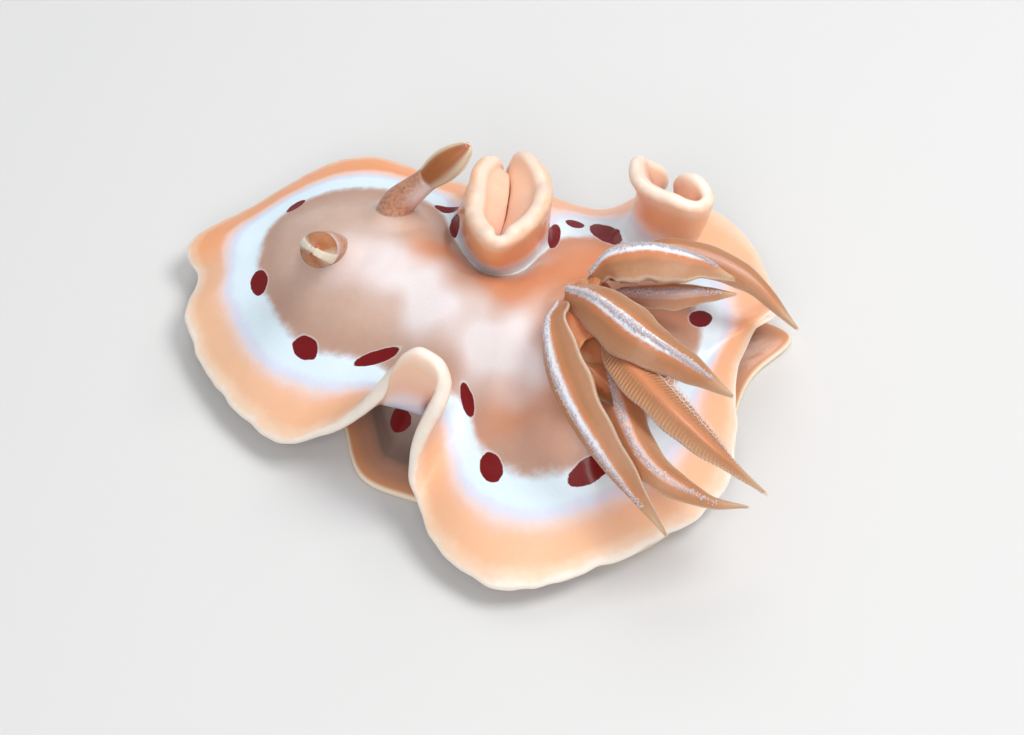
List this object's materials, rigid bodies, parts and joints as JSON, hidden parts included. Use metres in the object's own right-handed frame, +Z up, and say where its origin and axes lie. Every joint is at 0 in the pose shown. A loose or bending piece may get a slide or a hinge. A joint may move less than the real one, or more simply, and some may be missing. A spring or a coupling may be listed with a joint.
{
  "type": "sea slug model",
  "caption": "Life-size still model of a chromodorid sea slug: ruffled mantle raised in folds, flat foot, two leaved feelers and a plume of gill leaves.",
  "frame": {"origin": "on the floor under the middle of the body, on the flat sole", "axes": "+X toward the head, +Y to the animal's left, +Z up"},
  "size_m": [0.0524, 0.0399, 0.0171],
  "materials": {
    "mantle": "wet skin, banded white, orange and cream",
    "back": "wet translucent skin",
    "foot": "wet skin",
    "head": "wet skin",
    "feelers": "wet leaved skin",
    "gills": "wet frosted skin"
  },
  "bodies": {
    "root": {"back_head": "back", "back_middle": "back", "back_gill": "back", "back_rear": "back", "mantle_front": "mantle", "mantle_right_front": "mantle", "mantle_right_fold_near": "mantle", "mantle_right_fold_crest": "mantle", "mantle_right_fold_far": "mantle", "mantle_right_trough": "mantle", "mantle_rear_fold_near": "mantle", "mantle_rear_fold_crest": "mantle", "mantle_rear_fold_far": "mantle", "mantle_rear_right": "mantle", "mantle_rear": "mantle", "mantle_rear_left": "mantle", "mantle_left_fold_near": "mantle", "mantle_left_fold_crest": "mantle", "mantle_left_fold_far": "mantle", "mantle_left": "mantle", "foot_front": "foot", "foot_middle": "foot", "foot_rear": "foot", "snout": "head", "mouth_feeler_left": "head", "mouth_feeler_right": "head", "rhinophore_sheath_left": "back", "rhinophore_stalk_left": "feelers", "rhinophore_club_left": "feelers", "rhinophore_sheath_right": "back", "rhinophore_stalk_right": "feelers", "rhinophore_club_right": "feelers", "gill_pocket": "back", "gill_stem": "gills", "gill_leaf_1": "gills", "gill_leaf_2": "gills", "gill_leaf_3": "gills", "gill_leaf_4": "gills", "gill_leaf_5": "gills", "gill_leaf_6": "gills", "gill_leaf_7": "gills", "gill_leaf_8": "gills"}
  },
  "joints": []
}
